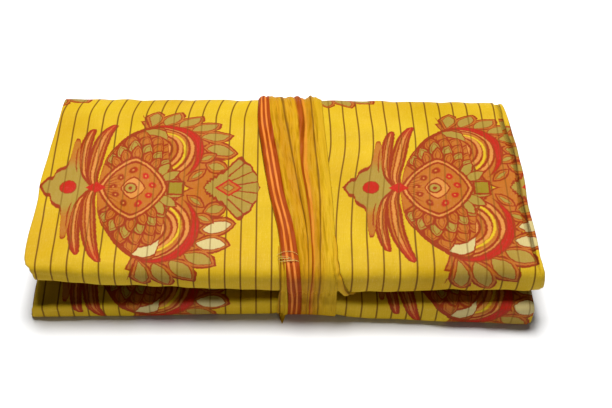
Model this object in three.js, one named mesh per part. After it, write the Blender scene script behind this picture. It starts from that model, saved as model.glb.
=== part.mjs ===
// A folded saree: the cloth is folded in three across its width and halved five times along its
// length. The last halving puts the spine of the pack at the back and leaves a mouth between the two
// halves at the front. The end of the saree, the pallu, is wound once round the middle as a band.
// Millimetres, +Z up, -Y is the front, the pack lies on Z = 0.
import * as THREE from "three";

const { clamp, degToRad, lerp, smoothstep } = THREE.MathUtils;

// ---------------------------------------------------------------- driving sizes
const SAREE = { length: 6200, width: 1150 }; // with the blouse piece that is woven on its end
const BAND_LENGTH = 480; // the stretch that is wound round the middle
const FOLDS_ACROSS = 3;
const HALVINGS = 5;
const OUTER_FOLD = 8; // the outermost sheet stands this much outside the inner ones, front to back
const PACK = {
  width: SAREE.width / FOLDS_ACROSS,
  depth: (SAREE.length - BAND_LENGTH) / 2 ** HALVINGS + OUTER_FOLD,
};

const WALL = 1.2; // the outermost sheet and the pallu, as walls
const SEAM = 0.3; // clearance between pieces
const SKIN = WALL + SEAM;

const TIP_REACH = 9; // the pallu's loose corner lies this far in front of the pack
const BAND_STAND = 2.6; // and the band stands this far behind it
const END_X = PACK.width / 2;
const FRONT_Y = (TIP_REACH - BAND_STAND - PACK.depth) / 2;
const BACK_Y = FRONT_Y + PACK.depth;

// The pack's section at places across it: the thickness of the lower and upper half at the mouth and
// at the spine (Back), the clear gap between them inside the spine (inner) and at the mouth, and how
// far each half's fold stands in front of FRONT_Y.
const SECTION_COLUMNS = [
  ...["x", "lower", "lowerBack", "inner", "mouth", "upper", "upperBack", "lowerFront", "upperFront"],
];
const SECTIONS = [
  [-END_X, 15, 23.5, 3, 25, 18.5, 26, 4.5, -1],
  [-120, 17, 24, 1.5, 16, 23.5, 28, 3.5, 0],
  [-45, 19, 25, 0.8, 8, 27.5, 30.2, 1.5, 0],
  [15, 21.5, 25.5, 0.8, 3, 29.5, 30.7, 0.5, 0],
  [75, 20.5, 26, 0.8, 3.5, 31.5, 30.7, 4.8, 0],
  [130, 23.5, 26, 0.8, 4, 30.5, 30.2, 7.5, 0],
  [END_X, 25, 26.5, 0.8, 1.5, 32, 30.2, 9.5, -0.5],
].map((row) => Object.fromEntries(SECTION_COLUMNS.map((name, i) => [name, row[i]])));

// ---------------------------------------------------------------- the pack's outline
// The outline is a ring of points in the plane of x, in these zones. Each fold is a rounded corner,
// squarer as its power grows. The upper and lower folds are at the front, the spine at the back.
const ZONES = [
  { zone: "ceiling", points: 4 },
  { zone: "upperFold", points: 10, power: 2.2 },
  { zone: "top", points: 7 },
  { zone: "spine", points: 10, power: 2.8 },
  { zone: "underside", points: 7 },
  { zone: "lowerFold", points: 10, power: 3.2 },
  { zone: "floor", points: 4 },
  { zone: "turn", points: 3 },
];
const FOLD_REACH = { upper: 1.2, lower: 0.6 }; // how deep a front fold's corner is, in half thicknesses
const FOLD_LEAST = 0.35; // the same of the innermost layers, at least
const zoneAt = (name) => ZONES.find(({ zone }) => zone === name);
const startOf = (name) =>
  ZONES.slice(0, ZONES.indexOf(zoneAt(name))).reduce((sum, { points }) => sum + points, 0);
const lastOf = (name) => startOf(name) + zoneAt(name).points - 1;

// A value from the table for x, eased between its rows.
function tableAt(table, name, x, key = "x") {
  const next = table.findIndex((row) => row[key] >= x);
  if (next <= 0) return table[next < 0 ? table.length - 1 : 0][name];
  const [before, after] = [table[next - 1], table[next]];
  return lerp(before[name], after[name], smoothstep(x, before[key], after[key]));
}

// Points of a half-round fold about a centre [y, z], from below to above: reach is how far it
// stands out along y (negative to the front) and half its half height.
function fold({ points, power }, [y, z], reach, halfDown, halfUp) {
  return Array.from({ length: points }, (_, i) => {
    const turn = ((2 * i) / (points - 1) - 1) * (Math.PI / 2);
    const rise = Math.sign(turn) * Math.abs(Math.sin(turn)) ** (2 / power);
    const half = turn > 0 ? halfUp : halfDown;
    return [y + reach * Math.cos(turn) ** (2 / power), z + half * rise];
  });
}

const along = (count, from, to, height) =>
  Array.from({ length: count }, (_, i) => {
    const y = lerp(from, to, (i + 0.5) / count);
    return [y, height(y)];
  });

// The ring at x, inset from the outermost sheet's face by a length, and by a share of what is left
// of each half's thickness. It runs out along the mouth's ceiling, up round the upper fold, back
// over the top, down the spine, forward underneath, up round the lower fold and in along the floor.
function outline(x, length, share = 0) {
  const at = (name) => tableAt(SECTIONS, name, x);
  const press = underPress(x);
  const inner = at("inner");
  const reach = Math.max(at("lowerBack"), at("upperBack")) + inner / 2;
  const turnY = BACK_Y - reach;
  const fronts = { upper: FRONT_Y - at("upperFront"), lower: FRONT_Y - at("lowerFront") };
  const capUpper = fronts.upper + (FOLD_REACH.upper * at("upper")) / 2;
  const capLower = fronts.lower + (FOLD_REACH.lower * at("lower")) / 2;
  const open = (y) => clamp((turnY - y) / (turnY - FRONT_Y), 0, 1);
  const lower = (y) => lerp(at("lowerBack"), at("lower"), open(y));
  const upper = (y) => lerp(at("upperBack"), at("upper"), open(y));
  const ceiling = (y) => lower(y) + lerp(inner, at("mouth"), open(y));
  const inLower = (y) => length + share * ((lower(y) - press) / 2 - SKIN);
  const inUpper = (y) => length + share * (upper(y) / 2 - SKIN);
  const middle = at("lowerBack") + inner / 2;
  const [half, lowerHalf] = [upper(capUpper) / 2, (lower(capLower) - press) / 2];
  const stand = (deep, inward, most) => -Math.max(deep - inward, FOLD_LEAST * (most - inward));
  const count = (name) => zoneAt(name).points;
  const turnIn = { points: count("turn"), power: 2 };
  return [
    ...along(count("ceiling"), turnY, capUpper, (y) => ceiling(y) + inUpper(y)),
    ...fold(zoneAt("upperFold"), [capUpper, ceiling(capUpper) + half],
      stand(capUpper - fronts.upper, inUpper(capUpper), half), half - inUpper(capUpper),
      half - inUpper(capUpper)),
    ...along(count("top"), capUpper, turnY, (y) => ceiling(y) + upper(y) - inUpper(y)),
    ...fold(zoneAt("spine"), [turnY, middle], reach - (inLower(turnY) + inUpper(turnY)) / 2,
      middle - press - inLower(turnY), inner / 2 + at("upperBack") - inUpper(turnY)).reverse(),
    ...along(count("underside"), turnY, capLower, (y) => press + inLower(y)),
    ...fold(zoneAt("lowerFold"), [capLower, press + lowerHalf],
      stand(capLower - fronts.lower, inLower(capLower), lowerHalf), lowerHalf - inLower(capLower),
      lowerHalf - inLower(capLower)),
    ...along(count("floor"), capLower, turnY, (y) => lower(y) - inLower(y)),
    ...fold(turnIn, [turnY, middle], inner / 2 + (inLower(turnY) + inUpper(turnY)) / 2,
      inner / 2 + inLower(turnY), inner / 2 + inUpper(turnY)),
  ];
}

// How far in from END_X the cloth ends at each place round the ring, at the left and right end of
// the pack: the front folds are a little crooked, and the upper one bulges out at the right.
const ENDS = [
  { at: startOf("ceiling"), left: 4, right: 1 },
  { at: startOf("upperFold"), left: 7, right: 1 },
  { at: startOf("upperFold") + 5, left: 5, right: -2 },
  { at: startOf("top"), left: 1.5, right: 0 },
  { at: lastOf("top"), left: 10, right: 8 },
  { at: lastOf("spine"), left: 7, right: 5 },
  { at: startOf("lowerFold"), left: 0, right: 1 },
  { at: lastOf("lowerFold"), left: 4, right: 2 },
  { at: lastOf("turn"), left: 4, right: 1 },
];
const END_EASE = 0.16; // the share of the half width over which the ends' crookedness fades

// The station across the pack for a share from -1 (left) to 1 (right), at a place round the ring.
function stationX(share, place, trim) {
  const side = share < 0 ? "left" : "right";
  const fade = smoothstep(Math.abs(share), 1 - END_EASE, 1);
  const inward = tableAt(ENDS, side, place, "at") + trim[side];
  return share * END_X - Math.sign(share) * inward * fade;
}

// The band's edges under the pack, and how wide of them the pack is pressed up for it.
const UNDER = { left: -2, right: 42 };
const PRESS = { clear: 1, ease: 6 };
const PRESSED = [UNDER.left - PRESS.clear, UNDER.right + PRESS.clear];

// Stations across the pack, as shares of its half width.
const STATIONS = [
  ...[-1, -0.94, -0.86, -0.7, -0.5, -0.28],
  ...[PRESSED[0] - PRESS.ease, PRESSED[0], 12, 28, PRESSED[1], PRESSED[1] + PRESS.ease]
    .map((x) => x / END_X),
  ...[0.45, 0.64, 0.82, 0.94, 1],
];

// ---------------------------------------------------------------- closed bodies from rings
class Body {
  positions = [];
  index = [];
  rows(rows) {
    const start = this.positions.length / 3;
    for (const row of rows) for (const point of row) this.positions.push(...point);
    return start;
  }
  quad(a, b, c, d) {
    this.index.push(a, b, c, a, c, d);
  }
  geometry() {
    const geometry = new THREE.BufferGeometry();
    geometry.setAttribute("position", new THREE.Float32BufferAttribute(this.positions, 3));
    geometry.setIndex(this.facingOut() ? this.index : this.index.toReversed());
    geometry.computeVertexNormals();
    return geometry;
  }
  facingOut() {
    const corner = (i) => new THREE.Vector3().fromArray(this.positions, 3 * this.index[i]);
    let volume = 0;
    for (let i = 0; i < this.index.length; i += 3) {
      volume += corner(i).dot(corner(i + 1).cross(corner(i + 2)));
    }
    return volume > 0;
  }
}

// A wall between two grids of the same size: its two faces and the four edges between them.
function wallGeometry(inner, outer) {
  const body = new Body();
  const [rows, columns] = [inner.length, inner[0].length];
  const [low, high] = [inner, outer].map((grid) => {
    const start = body.rows(grid);
    return (row, column) => start + row * columns + column;
  });
  for (let r = 0; r + 1 < rows; r++) {
    for (let c = 0; c + 1 < columns; c++) {
      body.quad(high(r, c), high(r, c + 1), high(r + 1, c + 1), high(r + 1, c));
      body.quad(low(r, c), low(r + 1, c), low(r + 1, c + 1), low(r, c + 1));
    }
    body.quad(low(r, 0), high(r, 0), high(r + 1, 0), low(r + 1, 0));
    const end = columns - 1;
    body.quad(low(r, end), low(r + 1, end), high(r + 1, end), high(r, end));
  }
  for (let c = 0; c + 1 < columns; c++) {
    body.quad(low(0, c), low(0, c + 1), high(0, c + 1), high(0, c));
    const end = rows - 1;
    body.quad(low(end, c), high(end, c), high(end, c + 1), low(end, c + 1));
  }
  return body.geometry();
}

// A body through closed rings, with both ends closed over their outlines.
function ringGeometry(rings) {
  const body = new Body();
  const size = rings[0].length;
  body.rows(rings);
  for (let r = 0; r + 1 < rings.length; r++) {
    for (let i = 0; i < size; i++) {
      const next = (i + 1) % size;
      body.quad(r * size + i, (r + 1) * size + i, (r + 1) * size + next, r * size + next);
    }
  }
  for (const end of [0, rings.length - 1]) {
    const contour = rings[end].map(([, y, z]) => new THREE.Vector2(y, z));
    for (const face of THREE.ShapeUtils.triangulateShape(contour, [])) {
      const corners = face.map((i) => end * size + i);
      body.index.push(...(end ? corners : corners.toReversed()));
    }
  }
  return body.geometry();
}

// A place round the ring that needn't be one of its points.
function ringPoint(ring, place) {
  const low = Math.floor(place);
  const [a, b] = [ring[low % ring.length], ring[(low + 1) % ring.length]];
  return a.map((value, k) => lerp(value, b[k], place - low));
}

// The whole places between two places, and the two ends, each moved in by half a seam.
function places(from, to, pointAt) {
  const [first, second, last, beforeLast] = [from, from + 1, to, to - 1].map(pointAt);
  const step = (a, b) => SEAM / 2 / Math.hypot(a[0] - b[0], a[1] - b[1]);
  const list = [from + step(first, second)];
  for (let place = Math.floor(from) + 1; place < to; place++) list.push(place);
  list.push(to - step(last, beforeLast));
  return list;
}

// ---------------------------------------------------------------- materials
const cloth = (color, roughness = 0.85) =>
  new THREE.MeshStandardMaterial({ color, roughness, metalness: 0, side: THREE.FrontSide });
const yellow = cloth("#e0c833");
const edges = cloth("#c9ae2e");
const golden = cloth("#eab91e", 0.75);

const saree = new THREE.Group();
function add(name, geometry, material) {
  const mesh = new THREE.Mesh(geometry, material);
  mesh.name = name;
  saree.add(mesh);
}

// ---------------------------------------------------------------- the folded layers
// The hidden layers, as one solid. At both ends of the pack its folds stand in ridges, one round
// the other, uneven like the edges of the layers.
const LAYERS = {
  ridges: 7,
  groove: 1.8,
  uneven: 0.9,
  beat: 1.9, // radians of unevenness from one step to the next
  innermost: 0.9,
  trim: { left: 1.5, right: 0 },
};

function layerEnds(side) {
  const steps = 2 * LAYERS.ridges;
  const nested = Array.from({ length: steps }, (_, i) => {
    const step = i + 1;
    const uneven = LAYERS.uneven * (1 + Math.sin(LAYERS.beat * step));
    const inward = (step % 2 ? LAYERS.groove : 0) + uneven;
    const ring = outline(side * END_X, SKIN, (LAYERS.innermost * step) / steps);
    return ring.map(([y, z], place) => [stationX(side, place, LAYERS.trim) - side * inward, y, z]);
  });
  return side < 0 ? nested.reverse() : nested;
}

function foldedLayers() {
  const body = STATIONS.map((share) => {
    const ring = outline(share * END_X, SKIN);
    return ring.map(([y, z], place) => [stationX(share, place, LAYERS.trim), y, z]);
  });
  return ringGeometry([...layerEnds(-1), ...body, ...layerEnds(1)]);
}

// ---------------------------------------------------------------- the outermost sheet
// Its three stretches that show. The upper one ends short at the right, where the fold under it
// shows as a narrow strip.
const COVERS = [
  { name: "top_cover", from: 0, to: startOf("spine") + 2, trim: { left: 0, right: 7 } },
  { name: "back_cover", from: startOf("spine") + 2, to: lastOf("spine") - 2,
    trim: { left: 0, right: 2 } },
  { name: "bottom_cover", from: lastOf("spine") - 2, to: lastOf("floor"),
    trim: { left: 0, right: 1 } },
];

function coverGeometry({ from, to, trim }) {
  const list = places(from, to, (place) => ringPoint(outline(0, 0), place));
  const grid = (inset) =>
    STATIONS.map((share) => {
      const ring = outline(share * END_X, inset);
      return list.map((place) => [stationX(share, place, trim), ...ringPoint(ring, place)]);
    });
  return wallGeometry(grid(WALL), grid(0));
}

// ---------------------------------------------------------------- the pallu
// The path of the pallu round the pack, in places on the ring: back over the top, down the spine,
// forward underneath and up the front, straight across the mouth.
const LIP = 3; // the pallu leaves each front fold this many points before the mouth
const acrossMouth = (mix) => ({
  from: lastOf("lowerFold") - LIP, to: startOf("upperFold") + LIP, mix, dip: 1 - Math.abs(2 * mix - 1),
});
const path = (from, to) => Array.from({ length: to - from + 1 }, (_, i) => ({ from: from + i }));
const PATH = [
  ...path(startOf("top"), lastOf("lowerFold") - LIP),
  acrossMouth(0.33),
  acrossMouth(0.67),
  ...path(startOf("upperFold") + LIP, startOf("top")),
];
const MOUTH_DIP = 0.8; // how far the pallu sinks in between the halves

// The outline at any x, on the flat facets between the stations.
function facetRing(x, inset) {
  const next = STATIONS.findIndex((share) => share * END_X > x);
  const [left, right] = [STATIONS[next - 1] * END_X, STATIONS[next] * END_X];
  const ring = outline(right, inset);
  const mix = (x - left) / (right - left);
  return outline(left, inset).map((point, i) => point.map((value, k) => lerp(value, ring[i][k], mix)));
}

function pathPoint(x, inset, place) {
  const ring = facetRing(x, inset);
  const pointAt = ({ from, to, mix = 0, dip = 0 }) => {
    const [a, b] = [ring[from], ring[to ?? from]];
    return [lerp(a[0], b[0], mix) + dip * MOUTH_DIP, lerp(a[1], b[1], mix)];
  };
  const low = Math.min(Math.floor(place), PATH.length - 2);
  const [a, b] = [pointAt(PATH[low]), pointAt(PATH[low + 1])];
  return a.map((value, k) => lerp(value, b[k], place - low));
}
const onPath = (ringPlace) => PATH.findIndex(({ from, to }) => to === undefined && from === ringPlace);

// The band's two edges along the path.
const FRONT_EDGE = { left: 4, right: 40 };
const BAND = [
  { at: 0, left: -4, right: 38 },
  { at: onPath(startOf("top") + 3), left: -14, right: 36 },
  { at: onPath(lastOf("top")), left: -23, right: 33 },
  { at: onPath(startOf("spine") + 2), left: -21, right: 34 },
  { at: onPath(lastOf("spine") - 3), ...UNDER },
  { at: onPath(lastOf("underside")), ...UNDER },
  { at: onPath(startOf("lowerFold") + 3), ...FRONT_EDGE },
  { at: PATH.length - 4, ...FRONT_EDGE },
  { at: PATH.length - 1, left: -4, right: 38 },
];
const bandEdge = (side, place) => tableAt(BAND, side, place, "at");

// The soft folds that run along the band, at shares of its width. They are flat under the pack.
const BAND_COLUMNS = 13;
const PLEATS = [
  { across: 0.08, rise: 1.6, spread: 0.06 },
  { across: 0.5, rise: 2.1, spread: 0.07 },
  { across: 0.73, rise: 1.2, spread: 0.06 },
  { across: 0.95, rise: 0.9, spread: 0.05 },
];
const FLAT_FROM = onPath(lastOf("spine") - 2);
const FLAT_TO = onPath(startOf("lowerFold") + 2);

const FLAT_EASE = 3;

function pleatRise(across, place) {
  const into = smoothstep(place, FLAT_FROM - FLAT_EASE, FLAT_FROM);
  const flat = into * (1 - smoothstep(place, FLAT_TO, FLAT_TO + FLAT_EASE));
  const bump = ({ across: centre, rise, spread }) =>
    rise * Math.exp(-(((across - centre) / spread) ** 2));
  return (1 - flat) * PLEATS.reduce((sum, pleat) => sum + bump(pleat), 0);
}

// The pack is pressed up a little where the pallu passes under it, so that its underside is flat.
function underPress(x) {
  const rise = smoothstep(x, PRESSED[0] - PRESS.ease, PRESSED[0]);
  const fall = 1 - smoothstep(x, PRESSED[1], PRESSED[1] + PRESS.ease);
  return SKIN * rise * fall;
}

// A wall that lies on the outermost sheet between two edges, along places on the path.
function lyingWall(list, columns, edge, rise, thick = () => WALL) {
  const grid = (outer) =>
    list.map((place) =>
      Array.from({ length: columns }, (_, i) => {
        const across = i / (columns - 1);
        const x = lerp(edge("left", place), edge("right", place), across);
        const lift = SEAM + rise(across, place) + (outer ? thick(across, place) : 0);
        return [x, ...pathPoint(x, -lift, place)];
      }),
    );
  return wallGeometry(grid(false), grid(true));
}

const BAND_STRETCHES = [
  { name: "pallu_over_top", from: 0, to: onPath(lastOf("top") + 2) },
  { name: "pallu_down_back", from: onPath(lastOf("top") + 2), to: onPath(lastOf("spine") - 1) },
  { name: "pallu_underneath", from: onPath(lastOf("spine") - 1), to: onPath(startOf("lowerFold") + 1) },
  { name: "pallu_up_front", from: onPath(startOf("lowerFold") + 1), to: PATH.length - 1 },
];

// The pallu's selvedge turns in at the front right, and rolls down into the mouth.
const ROLL = {
  columns: 6,
  width: 5,
  height: 2.4,
  edge: 0.5,
  top: 40.6,
  bottom: 50,
  from: PATH.length - 8,
};
function tuckedEdge() {
  const last = PATH.length - 1;
  const list = path(ROLL.from, last).map(({ from }) => from);
  const start = (place) => lerp(ROLL.bottom, ROLL.top, smoothstep(place, ROLL.from, last));
  const edge = (side, place) => start(place) + (side === "right" ? ROLL.width : 0);
  const round = (across) => ROLL.edge + (ROLL.height - ROLL.edge) * Math.sin(Math.PI * across);
  return lyingWall(list, ROLL.columns, edge, () => 0, round);
}

// The pallu's loose corner hangs down the front beside the band, and its tip lies on the surface
// in front of the pack. Its last rows leave the pack: places with the way they face.
const CORNER = { columns: 4, width: 7.7, topWidth: 0.45, taper: 5, clear: 0.8, from: PATH.length - 3 };
const TIP = [
  { ahead: 1.1, z: 4.6, face: 65, width: 0.95 },
  { ahead: 2.4, z: 2.1, face: 40, width: 0.85 },
  { ahead: 4.4, z: 0.5, face: 15, width: 0.6 },
  { ahead: TIP_REACH, z: 0, face: 0, width: 0.1 },
];
function looseCorner() {
  const lowest = onPath(startOf("lowerFold") + 3);
  const rows = [];
  for (let place = CORNER.from; place >= lowest; place--) {
    const narrow = smoothstep(place, CORNER.from - CORNER.taper, CORNER.from);
    const width = lerp(1, CORNER.topWidth, narrow);
    rows.push({ width, place, pointAt: (x, lift) => pathPoint(x, -lift, place) });
  }
  const front = FRONT_Y - tableAt(SECTIONS, "lowerFront", 0);
  for (const { ahead, z, face, width } of TIP) {
    const turn = degToRad(face);
    const pointAt = (x, lift) => {
      const clear = lift - SEAM;
      return [front - ahead - clear * Math.sin(turn), z + clear * Math.cos(turn)];
    };
    rows.push({ width, place: lowest, pointAt });
  }
  const grid = (lift) =>
    rows.map(({ width, place, pointAt }) =>
      Array.from({ length: CORNER.columns }, (_, i) => {
        const right = bandEdge("left", place) - CORNER.clear;
        const x = right - width * CORNER.width * (1 - i / (CORNER.columns - 1));
        return [x, ...pointAt(x, lift)];
      }),
    );
  return wallGeometry(grid(SEAM), grid(SKIN));
}

// ---------------------------------------------------------------- the saree
add("folded_layers", foldedLayers(), edges);
for (const cover of COVERS) add(cover.name, coverGeometry(cover), yellow);
for (const { name, from, to } of BAND_STRETCHES) {
  const list = places(from, to, (place) => pathPoint(0, 0, clamp(place, 0, PATH.length - 1)));
  add(name, lyingWall(list, BAND_COLUMNS, bandEdge, pleatRise), golden);
}
add("pallu_tucked_edge", tuckedEdge(), golden);
add("pallu_loose_corner", looseCorner(), golden);

export default saree;
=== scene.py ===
import math
import bmesh
import bpy
import numpy as np
from mathutils import Matrix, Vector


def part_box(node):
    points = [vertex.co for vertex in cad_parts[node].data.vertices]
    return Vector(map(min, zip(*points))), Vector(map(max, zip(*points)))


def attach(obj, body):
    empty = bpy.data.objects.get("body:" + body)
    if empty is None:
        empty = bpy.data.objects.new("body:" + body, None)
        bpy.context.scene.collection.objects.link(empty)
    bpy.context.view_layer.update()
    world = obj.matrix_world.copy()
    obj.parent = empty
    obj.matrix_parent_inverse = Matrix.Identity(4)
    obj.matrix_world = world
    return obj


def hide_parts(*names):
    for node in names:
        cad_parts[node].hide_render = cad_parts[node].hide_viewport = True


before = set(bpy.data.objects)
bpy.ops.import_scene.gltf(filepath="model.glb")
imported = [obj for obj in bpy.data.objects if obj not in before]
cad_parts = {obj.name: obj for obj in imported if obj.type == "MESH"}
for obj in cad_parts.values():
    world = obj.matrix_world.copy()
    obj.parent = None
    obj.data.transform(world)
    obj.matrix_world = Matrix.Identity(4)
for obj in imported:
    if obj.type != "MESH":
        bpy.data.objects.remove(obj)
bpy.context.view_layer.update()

mm = 0.001
bpy.ops.object.select_all(action="DESELECT")

# the pack: where the cloth lies, in millimetres

topBox = [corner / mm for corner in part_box("top_cover")]
backBox = [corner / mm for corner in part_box("back_cover")]
pack = {
    "endX": -topBox[0].x,
    "frontY": topBox[0].y,
    "backY": backBox[1].y,
    "reachUpper": 1.2,   # how deep a front fold's corner is, in half thicknesses
    "reachLower": 0.6,
    "foldLeast": 0.35,   # the least that an inner layer's fold stands forward, as a share
    "skin": 1.5,         # from the outermost face to the layers under it
    "underBand": (-2.0, 42.0),
    "pressClear": 1.0,   # how far beside the band its hollow reaches, and how softly it ends
    "pressEase": 6.0,
    "endEase": 0.16,
    "topCrease": 1.78,   # the place of the crease that lengths along the cloth start from
    "runX": 15.0,        # x of the line along which they are measured
}

# thickness of the lower and upper half at the mouth and at the spine, the gap between them inside the
# spine and at the mouth, and how far each half's fold stands forward, at places across the pack
sections = {
    "x": [-pack["endX"], -120, -45, 15, 75, 130, pack["endX"]],
    "lower": [15, 17, 19, 21.5, 20.5, 23.5, 25],
    "lowerBack": [23.5, 24, 25, 25.5, 26, 26, 26.5],
    "inner": [3, 1.5, 0.8, 0.8, 0.8, 0.8, 0.8],
    "mouth": [25, 16, 8, 3, 3.5, 4, 1.5],
    "upper": [18.5, 23.5, 27.5, 29.5, 31.5, 30.5, 32],
    "upperBack": [26, 28, 30.2, 30.7, 30.7, 30.2, 30.2],
    "lowerFront": [4.5, 3.5, 1.5, 0.5, 4.8, 7.5, 9.5],
    "upperFront": [-1, 0, 0, 0, 0, 0, -0.5],
}

# how far in from the ends the cloth stops, by place round the pack
ends = {
    "place": [0, 1, 1.4, 1.7, 1.85, 2, 2.42, 2.7, 3, 4, 5, 6, 8],
    "left": [4, 10, 9, 6, 2.5, 1.5, 3.5, 5.5, 9, 7, 0, 4, 4],
    "right": [0, -3, -2.5, -2, -1, 0, 3, 2.4, 7, 5, 1, 2, 0],
}

# places round the pack: a zone's number, and how far through it
zones = ["ceiling", "upperFold", "top", "spine", "underside", "lowerFold", "floor", "turn"]
squareness = {"upperFold": (2.4, 3.0), "spine": (2.8, 2.8), "lowerFold": (2.9, 4.4), "turn": (2, 2)}


def smooth(value, low, high):
    share = np.clip((value - low) / (high - low), 0, 1)
    return share * share * (3 - 2 * share)


def eased(table, name, at, key="x"):
    # a column of a table, eased between its rows
    xs, ys = np.array(table[key], float), np.array(table[name], float)
    at = np.clip(at, xs[0], xs[-1])
    row = np.clip(np.searchsorted(xs, at, side="right") - 1, 0, len(xs) - 2)
    share = smooth(at, xs[row], xs[row + 1])
    return ys[row] + (ys[row + 1] - ys[row]) * share


def blend(a, b, share):
    return a + (b - a) * share


def pressedUp(x):
    low, high = pack["underBand"]
    rise = smooth(x, low - pack["pressClear"] - pack["pressEase"], low - pack["pressClear"])
    fall = 1 - smooth(x, high + pack["pressClear"], high + pack["pressClear"] + pack["pressEase"])
    return pack["skin"] * rise * fall


def foldCurve(name, turn):
    # how far out and how far up a fold is at a turn from below to above
    below, above = squareness[name]
    power = np.where(turn > 0, above, below)
    out = np.abs(np.cos(turn)) ** (2 / power)
    rise = np.sign(turn) * np.abs(np.sin(turn)) ** (2 / power)
    return out, rise


def packPoint(x, place, inset, share=0.0):
    # y and z of a place round the pack, inset from its outermost face by a length, and by a share
    # of what is left of the half's thickness
    x, place, inset = np.broadcast_arrays(x, place, np.asarray(inset, float))
    size = {name: eased(sections, name, x) for name in sections if name != "x"}
    press, inner = pressedUp(x), size["inner"]
    reach = np.maximum(size["lowerBack"], size["upperBack"]) + inner / 2
    turnY = pack["backY"] - reach
    frontUpper = pack["frontY"] - size["upperFront"]
    frontLower = pack["frontY"] - size["lowerFront"]
    capUpper = frontUpper + pack["reachUpper"] * size["upper"] / 2
    capLower = frontLower + pack["reachLower"] * size["lower"] / 2
    middle = size["lowerBack"] + inner / 2

    def openAt(y):
        return np.clip((turnY - y) / (turnY - pack["frontY"]), 0, 1)

    def lowerAt(y):
        return blend(size["lowerBack"], size["lower"], openAt(y))

    def upperAt(y):
        return blend(size["upperBack"], size["upper"], openAt(y))

    def ceiling(y):
        return lowerAt(y) + blend(inner, size["mouth"], openAt(y))

    def inLower(y):
        return inset + share * ((lowerAt(y) - press) / 2 - pack["skin"])

    def inUpper(y):
        return inset + share * (upperAt(y) / 2 - pack["skin"])

    def stand(deep, back, most):
        return np.maximum(deep - back, pack["foldLeast"] * (most - back))

    zone = np.clip(np.floor(place), 0, 7).astype(int)
    t = place - zone
    turn = (2 * t - 1) * math.pi / 2
    y, z = np.zeros(x.shape), np.zeros(x.shape)

    def put(name, ys, zs):
        here = zone == zones.index(name)
        y[here], z[here] = ys[here], zs[here]

    yIn = blend(turnY, capUpper, t)
    put("ceiling", yIn, ceiling(yIn) + inUpper(yIn))
    out, rise = foldCurve("upperFold", turn)
    thick, back = upperAt(capUpper), inUpper(capUpper)
    put("upperFold", capUpper - stand(capUpper - frontUpper, back, thick / 2) * out,
        ceiling(capUpper) + thick / 2 + (thick / 2 - back) * rise)
    yTop = blend(capUpper, turnY, t)
    put("top", yTop, ceiling(yTop) + upperAt(yTop) - inUpper(yTop))
    out, rise = foldCurve("spine", -turn)
    low, high = inLower(turnY), inUpper(turnY)
    put("spine", turnY + (reach - (low + high) / 2) * out,
        middle + rise * np.where(rise > 0, inner / 2 + size["upperBack"] - high, middle - press - low))
    yUnder = blend(turnY, capLower, t)
    put("underside", yUnder, press + inLower(yUnder))
    out, rise = foldCurve("lowerFold", turn)
    thick, back = lowerAt(capLower), inLower(capLower)
    put("lowerFold", capLower - stand(capLower - frontLower, back, (thick - press) / 2) * out,
        (thick + press) / 2 + ((thick - press) / 2 - back) * rise)
    yFloor = blend(capLower, turnY, t)
    put("floor", yFloor, lowerAt(yFloor) - inLower(yFloor))
    out, rise = foldCurve("turn", turn)
    put("turn", turnY + (inner / 2 + (low + high) / 2) * out,
        middle + rise * (inner / 2 + np.where(rise > 0, high, low)))
    return y, z


def runAlong(y, z):
    # the length along a line up to each of its points
    return np.concatenate([[0], np.cumsum(np.hypot(np.diff(y), np.diff(z)))])


def evenTurns(name, count):
    # places through a fold that are about equally far apart along it
    dense = np.linspace(0, 1, 4001)
    run = runAlong(*foldCurve(name, (2 * dense - 1) * math.pi / 2))
    return np.interp(np.linspace(0, run[-1], count), run, dense)


def placesRound(counts, first=0.0, last=8.0):
    # places round the pack with a number of steps in each zone
    places = []
    for number, name in enumerate(zones):
        count = counts[name] + 1
        steps = evenTurns(name, count) if name in squareness else np.linspace(0, 1, count)
        places += [number + step for step in steps[:-1]]
    places = np.array([place for place in places if first < place < last])
    return np.concatenate([[first], places, [last]]) if last < 8 or first > 0 else places


def lengthRound(places, crease=pack["topCrease"]):
    # how far along the cloth each place is from a crease
    dense = np.linspace(0, 7.999, 6000)
    run = runAlong(*packPoint(np.full(dense.shape, pack["runX"]), dense, 0.0))
    return np.interp(places, dense, run) - np.interp(crease, dense, run)


def endAt(share, place, trim=0.0):
    # x of a column that is a share of the way from the middle (0) to an end (-1 or 1)
    side = np.where(share < 0, -1.0, 1.0)
    fade = smooth(np.abs(share), 1 - pack["endEase"], 1)
    left = eased(ends, "left", place, "place")
    right = eased(ends, "right", place, "place") + trim
    return share * pack["endX"] - side * np.where(side < 0, left, right) * fade


# creases and unevenness

# soft troughs (rise below 0) and ridges, from one point to another, and broad hollows; the distance is
# along the cloth, behind the crease at the top of the upper fold
creases = [
    # x, distance, x, distance, rise, width
    (47, 22, 84, 9, 0.9, 5), (45, 52, 92, 66, -0.7, 8), (44, 88, 78, 112, 0.7, 7),
    (42, 132, 96, 141, 0.8, 6), (44, 150, 88, 166, -0.8, 6), (-6, 16, -48, 6, 0.7, 6),
    (-12, 44, -58, 30, -0.8, 9), (-20, 92, -52, 84, 0.5, 8), (-27, 138, -66, 152, 0.8, 7),
    (-150, 8, -96, 3, 0.5, 4), (-176, 40, -168, 120, -0.6, 9), (150, 18, 184, 40, 0.8, 8),
    (176, 60, 170, 150, -0.7, 9), (128, 96, 166, 110, 0.5, 10), (-184, -10, -150, -16, -0.7, 4),
    (120, -12, 176, -17, 0.6, 4), (-90, -14, -30, -11, 0.4, 5), (-120, 205, -60, 222, -0.9, 8),
    (60, 196, 140, 214, 0.8, 8), (46, 232, 100, 222, -0.7, 7), (-34, 236, -84, 244, 0.7, 6),
    (-170, 190, -150, 250, 0.6, 7), (-176, 418, -130, 428, 0.6, 5), (60, 424, 130, 416, -0.6, 5),
]
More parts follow.
